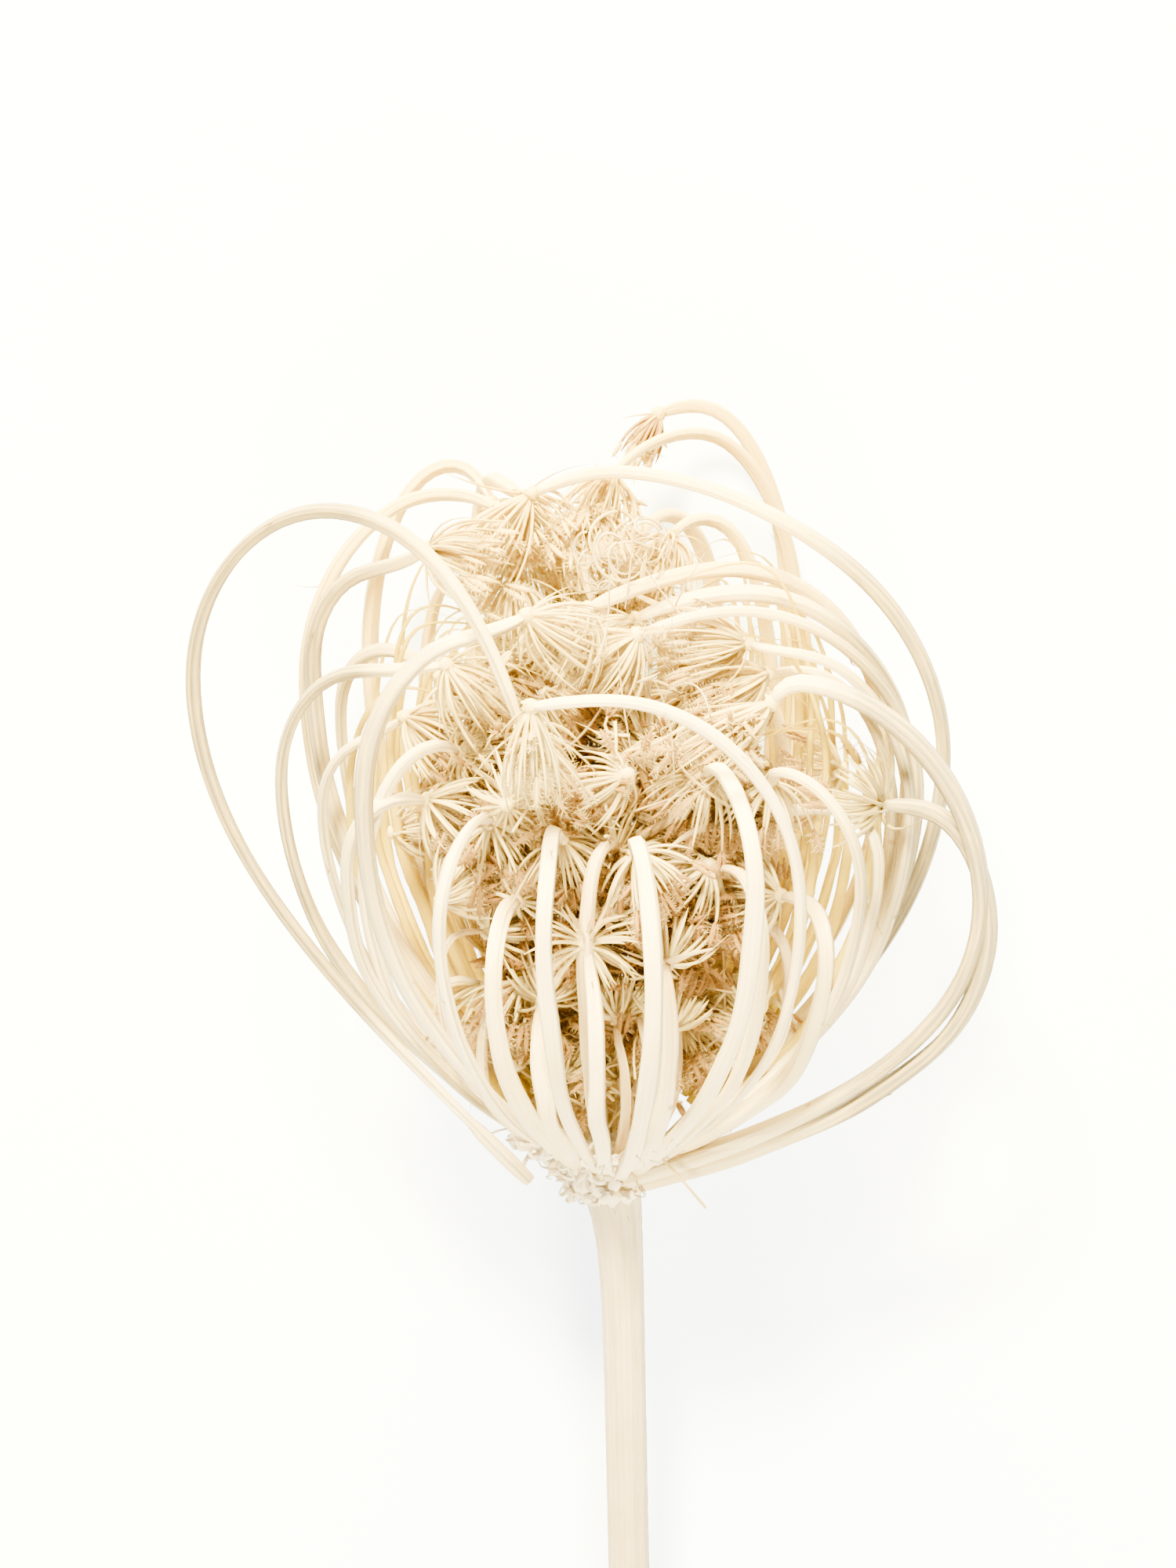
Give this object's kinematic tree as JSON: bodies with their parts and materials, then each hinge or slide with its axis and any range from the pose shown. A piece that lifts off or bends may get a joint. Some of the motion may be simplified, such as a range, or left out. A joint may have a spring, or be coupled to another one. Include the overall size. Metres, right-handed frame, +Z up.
{
  "type": "dried umbel seed head",
  "caption": "Dried seed head of a carrot-family plant on its cut stem, lying down: thin ribbed rays curl up and in like a bird's nest round tufts of bristly fruits.",
  "frame": {"origin": "bottom centre of the bounding box, on the surface that the head lies on", "axes": "+Y from the cut end of the stem to the head, +Z up from the surface, +X to the right seen from above with the head away"},
  "size_m": [0.0702, 0.1588, 0.0535],
  "materials": {
    "stem": "dry, matt, ridged lengthwise",
    "rays": "dry, matt, finely ribbed and slightly see-through",
    "umbellets": "dry, matt and bristly"
  },
  "bodies": {
    "root": {"stem": "stem", "rays": "rays", "loose_ray": "rays", "umbellet_01": "umbellets", "umbellet_02": "umbellets", "umbellet_03": "umbellets", "umbellet_04": "umbellets", "umbellet_05": "umbellets", "umbellet_06": "umbellets", "umbellet_07": "umbellets", "umbellet_08": "umbellets", "umbellet_09": "umbellets", "umbellet_10": "umbellets", "umbellet_11": "umbellets", "umbellet_12": "umbellets", "umbellet_13": "umbellets", "umbellet_14": "umbellets", "umbellet_15": "umbellets", "umbellet_16": "umbellets", "umbellet_17": "umbellets", "umbellet_18": "umbellets", "umbellet_19": "umbellets", "umbellet_20": "umbellets", "umbellet_21": "umbellets", "umbellet_22": "umbellets", "umbellet_23": "umbellets", "umbellet_24": "umbellets", "umbellet_25": "umbellets", "umbellet_26": "umbellets", "umbellet_27": "umbellets", "umbellet_28": "umbellets", "umbellet_29": "umbellets", "umbellet_30": "umbellets", "umbellet_31": "umbellets", "umbellet_32": "umbellets", "umbellet_33": "umbellets", "umbellet_34": "umbellets", "umbellet_35": "umbellets", "umbellet_36": "umbellets", "umbellet_37": "umbellets", "umbellet_38": "umbellets", "umbellet_39": "umbellets", "umbellet_40": "umbellets", "umbellet_41": "umbellets", "umbellet_42": "umbellets", "umbellet_43": "umbellets", "umbellet_44": "umbellets", "umbellet_45": "umbellets", "umbellet_46": "umbellets", "umbellet_47": "umbellets", "umbellet_48": "umbellets", "umbellet_49": "umbellets", "umbellet_50": "umbellets", "umbellet_51": "umbellets", "umbellet_52": "umbellets", "umbellet_53": "umbellets", "umbellet_54": "umbellets", "umbellet_55": "umbellets", "umbellet_56": "umbellets", "umbellet_57": "umbellets"}
  },
  "joints": []
}
